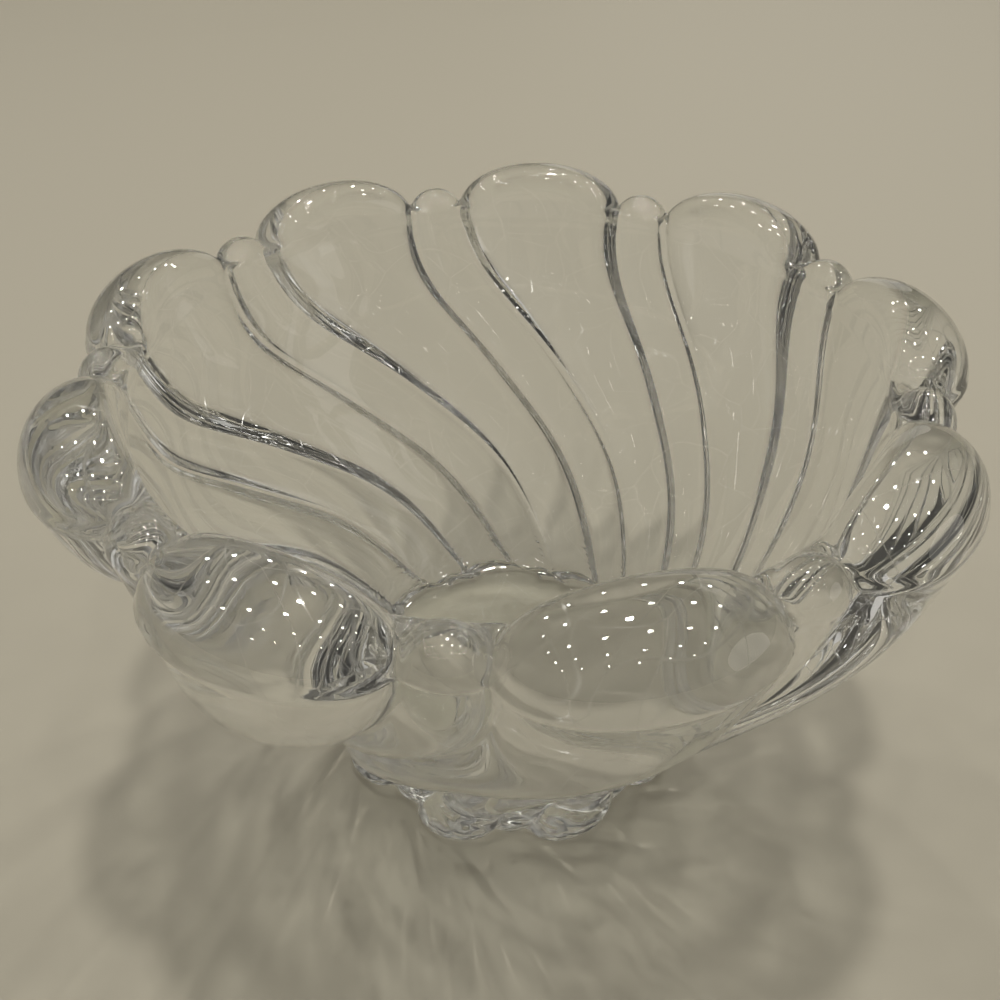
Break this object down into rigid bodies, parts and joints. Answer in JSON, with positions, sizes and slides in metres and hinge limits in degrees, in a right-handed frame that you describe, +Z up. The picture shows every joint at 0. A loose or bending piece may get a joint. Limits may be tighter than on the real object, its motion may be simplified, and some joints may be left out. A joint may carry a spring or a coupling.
{
  "type": "floating candle bowl",
  "caption": "Heavy clear pressed-glass bowl with a scalloped rim of rounded petals and slim ribs that swirl down to a small foot; it holds water and floating candles.",
  "frame": {"origin": "centre of the foot, on the plane that the bowl rests on", "axes": "+Z up along the axis of the bowl; +X through the middle of one petal at the rim"},
  "size_m": [0.1841, 0.1859, 0.1154],
  "materials": {
    "glass": "clear, fire-polished, colourless"
  },
  "bodies": {
    "root": {"glass_bowl": "glass"}
  },
  "joints": []
}
